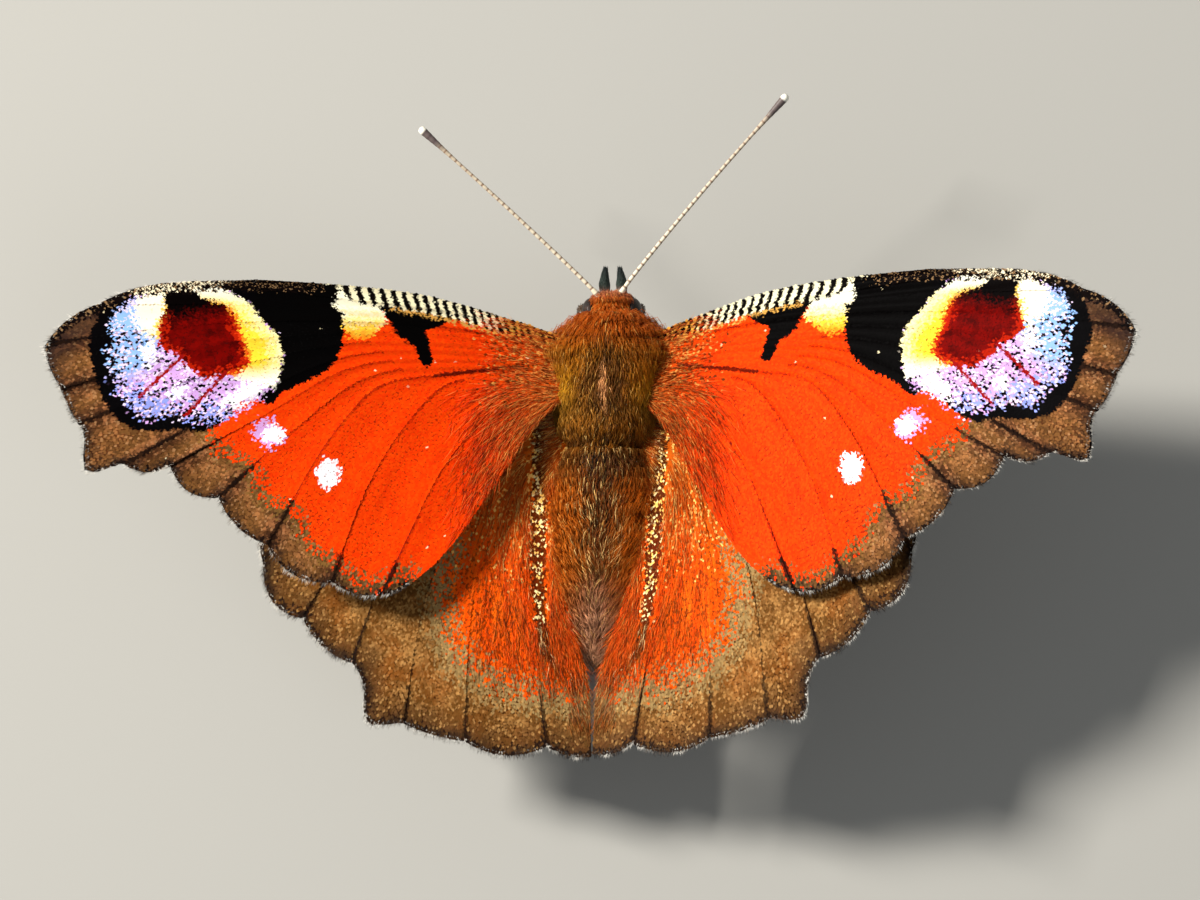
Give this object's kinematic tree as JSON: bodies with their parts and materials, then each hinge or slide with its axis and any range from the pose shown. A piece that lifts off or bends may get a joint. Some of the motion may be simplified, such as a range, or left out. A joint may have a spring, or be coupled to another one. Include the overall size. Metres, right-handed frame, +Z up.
{
  "type": "peacock butterfly",
  "caption": "Life-size standing butterfly with four wings spread flat, furred body, clubbed antennae, coiled tongue and bent legs on the floor.",
  "frame": {"origin": "centre of the bounding box in plan, at the level of the soles of the feet", "axes": "+X towards the butterfly's right wing tip, +Y towards the head, +Z up"},
  "size_m": [0.0634, 0.0388, 0.0183],
  "materials": {
    "fur": "short brown and golden hair over dark skin",
    "eye": "dark faceted eye with a soft shine",
    "horn": "dark brown horn with pale bands of scales",
    "wing": "thin membrane covered in red, brown, yellow, black and blue scales"
  },
  "bodies": {
    "root": {"head": "fur", "thorax": "fur", "abdomen": "fur", "palp_left": "fur", "palp_right": "fur", "eye_left": "eye", "eye_right": "eye", "proboscis": "horn", "antenna_left": "horn", "antenna_right": "horn", "foreleg_left": "horn", "foreleg_right": "horn", "midleg_left": "horn", "midleg_right": "horn", "hindleg_left": "horn", "hindleg_right": "horn", "forewing_left": "wing", "forewing_right": "wing", "hindwing_left": "wing", "hindwing_right": "wing"}
  },
  "joints": []
}
